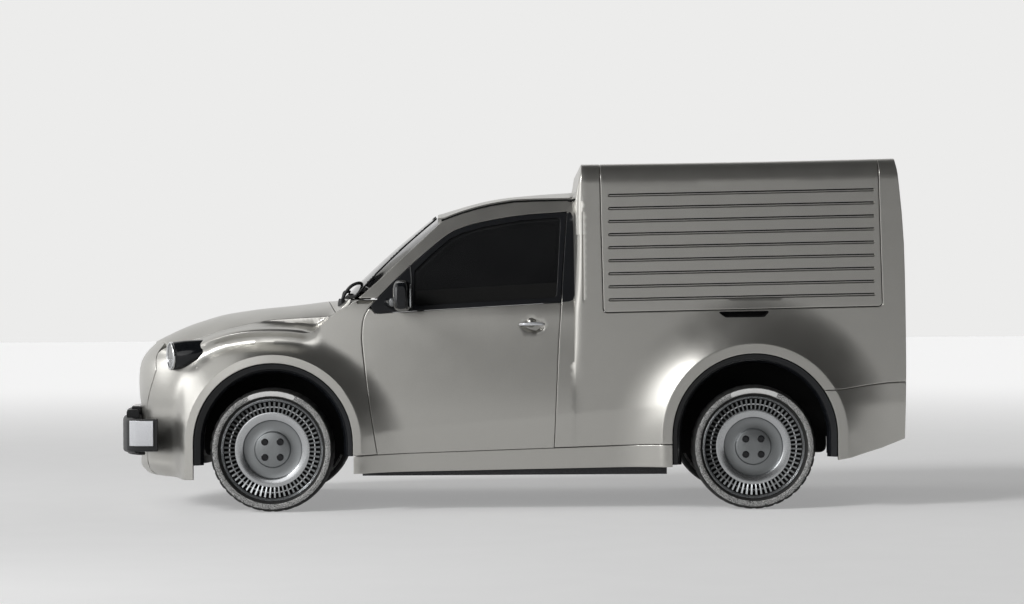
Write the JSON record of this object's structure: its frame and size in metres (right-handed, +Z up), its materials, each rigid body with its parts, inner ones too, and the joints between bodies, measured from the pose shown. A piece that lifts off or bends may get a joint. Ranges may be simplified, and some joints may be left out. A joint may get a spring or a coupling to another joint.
{
  "type": "small panel van",
  "caption": "Small panel van with a cab, a raised load box with gull wing side hatches, twin rear doors, opening doors and bonnet, and steered and turning wheels.",
  "frame": {"origin": "on the ground, at the middle of the length and width", "axes": "-X is the way the van faces, +Y its right side, +Z up"},
  "size_m": [4.09, 2.0824, 1.7834],
  "materials": {
    "paint": "warm grey satin metallic",
    "black_plastic": "satin grained",
    "black_gloss": "gloss",
    "glass": "dark tint",
    "rubber": "matt",
    "alloy": "satin",
    "chassis": "dark painted",
    "fabric": "woven",
    "lamp_red": "gloss"
  },
  "bodies": {
    "body": {"arch_liner_front_left": "black_plastic", "arch_liner_front_right": "black_plastic", "arch_liner_rear_left": "black_plastic", "arch_liner_rear_right": "black_plastic", "body_side_left": "paint", "body_side_right": "paint", "box_roof": "paint", "bulkhead": "paint", "cab_roof": "paint", "dashboard": "black_plastic", "floor_pan": "chassis", "front_bumper": "black_plastic", "front_structure": "chassis", "front_subframe": "chassis", "headlamp_left": "black_gloss", "headlamp_right": "black_gloss", "nose_panel": "paint", "power_unit": "chassis", "rear_axle": "chassis", "rear_bumper": "paint", "rear_frame": "paint", "scuttle": "black_plastic", "seat_left": "fabric", "seat_right": "fabric", "tail_lamp_left": "lamp_red", "tail_lamp_right": "lamp_red", "windscreen": "glass", "wing_left": "paint", "wing_right": "paint"},
    "bonnet": {"bonnet": "paint"},
    "steering_wheel": {"steering_wheel": "black_plastic"},
    "door_left": {"door_left": "paint", "door_glass_left": "glass", "mirror_left": "black_gloss"},
    "side_hatch_left": {"side_hatch_left": "paint"},
    "rear_door_left": {"rear_door_left": "paint"},
    "knuckle_left": {"knuckle_left": "chassis"},
    "wheel_front_left": {"rim_front_left": "alloy", "tyre_front_left": "rubber"},
    "wheel_rear_left": {"rim_rear_left": "alloy", "tyre_rear_left": "rubber"},
    "door_right": {"door_right": "paint", "door_glass_right": "glass", "mirror_right": "black_gloss"},
    "side_hatch_right": {"side_hatch_right": "paint"},
    "rear_door_right": {"rear_door_right": "paint"},
    "knuckle_right": {"knuckle_right": "chassis"},
    "wheel_front_right": {"rim_front_right": "alloy", "tyre_front_right": "rubber"},
    "wheel_rear_right": {"rim_rear_right": "alloy", "tyre_rear_right": "rubber"}
  },
  "joints": [
    {"name": "bonnet_hinge", "type": "hinge", "parent": "body", "child": "bonnet", "pos_m": [-0.84434, 0, 1.0889], "axis": [0, 1, 0], "range_deg": [0, 55]},
    {"name": "door_left_hinge", "type": "hinge", "parent": "body", "child": "door_left", "pos_m": [-0.72094, -0.79, 1.02643], "axis": [0, 0, -1], "range_deg": [0, 65]},
    {"name": "side_hatch_left_hinge", "type": "hinge", "parent": "body", "child": "side_hatch_left", "pos_m": [0, -0.4883, 1.77072], "axis": [-1, 0, 0], "range_deg": [0, 80]},
    {"name": "rear_door_left_hinge", "type": "hinge", "parent": "body", "child": "rear_door_left", "pos_m": [2.045, -0.64994, 0.66586], "axis": [0, 0, -1], "range_deg": [0, 95]},
    {"name": "steer_left", "type": "hinge", "parent": "body", "child": "knuckle_left", "pos_m": [-1.18, -0.645, 0.316], "axis": [0, 0, 1], "range_deg": [-30, 30]},
    {"name": "wheel_front_left_spin", "type": "hinge", "parent": "knuckle_left", "child": "wheel_front_left", "pos_m": [-1.18, -0.715, 0.316], "axis": [0, 1, 0], "continuous": true},
    {"name": "wheel_rear_left_spin", "type": "hinge", "parent": "body", "child": "wheel_rear_left", "pos_m": [1.27, -0.715, 0.316], "axis": [0, 1, 0], "continuous": true},
    {"name": "door_right_hinge", "type": "hinge", "parent": "body", "child": "door_right", "pos_m": [-0.72094, 0.79, 1.02643], "axis": [0, 0, 1], "range_deg": [0, 65]},
    {"name": "side_hatch_right_hinge", "type": "hinge", "parent": "body", "child": "side_hatch_right", "pos_m": [0, 0.4883, 1.77072], "axis": [1, 0, 0], "range_deg": [0, 80]},
    {"name": "rear_door_right_hinge", "type": "hinge", "parent": "body", "child": "rear_door_right", "pos_m": [2.045, 0.64994, 0.66586], "axis": [0, 0, 1], "range_deg": [0, 95]},
    {"name": "steer_right", "type": "hinge", "parent": "body", "child": "knuckle_right", "pos_m": [-1.18, 0.645, 0.316], "axis": [0, 0, 1], "range_deg": [-30, 30]},
    {"name": "wheel_front_right_spin", "type": "hinge", "parent": "knuckle_right", "child": "wheel_front_right", "pos_m": [-1.18, 0.715, 0.316], "axis": [0, 1, 0], "continuous": true},
    {"name": "wheel_rear_right_spin", "type": "hinge", "parent": "body", "child": "wheel_rear_right", "pos_m": [1.27, 0.715, 0.316], "axis": [0, 1, 0], "continuous": true},
    {"name": "steering_wheel_turn", "type": "hinge", "parent": "body", "child": "steering_wheel", "pos_m": [-0.39929, -0.36, 0.94069], "axis": [0.9063, 0, 0.4226], "range_deg": [-430, 430]}
  ],
  "couplings": [
    {"joint": "steer_right", "follows": "steer_left", "ratio": 1},
    {"joint": "steering_wheel_turn", "follows": "steer_left", "ratio": 14}
  ]
}
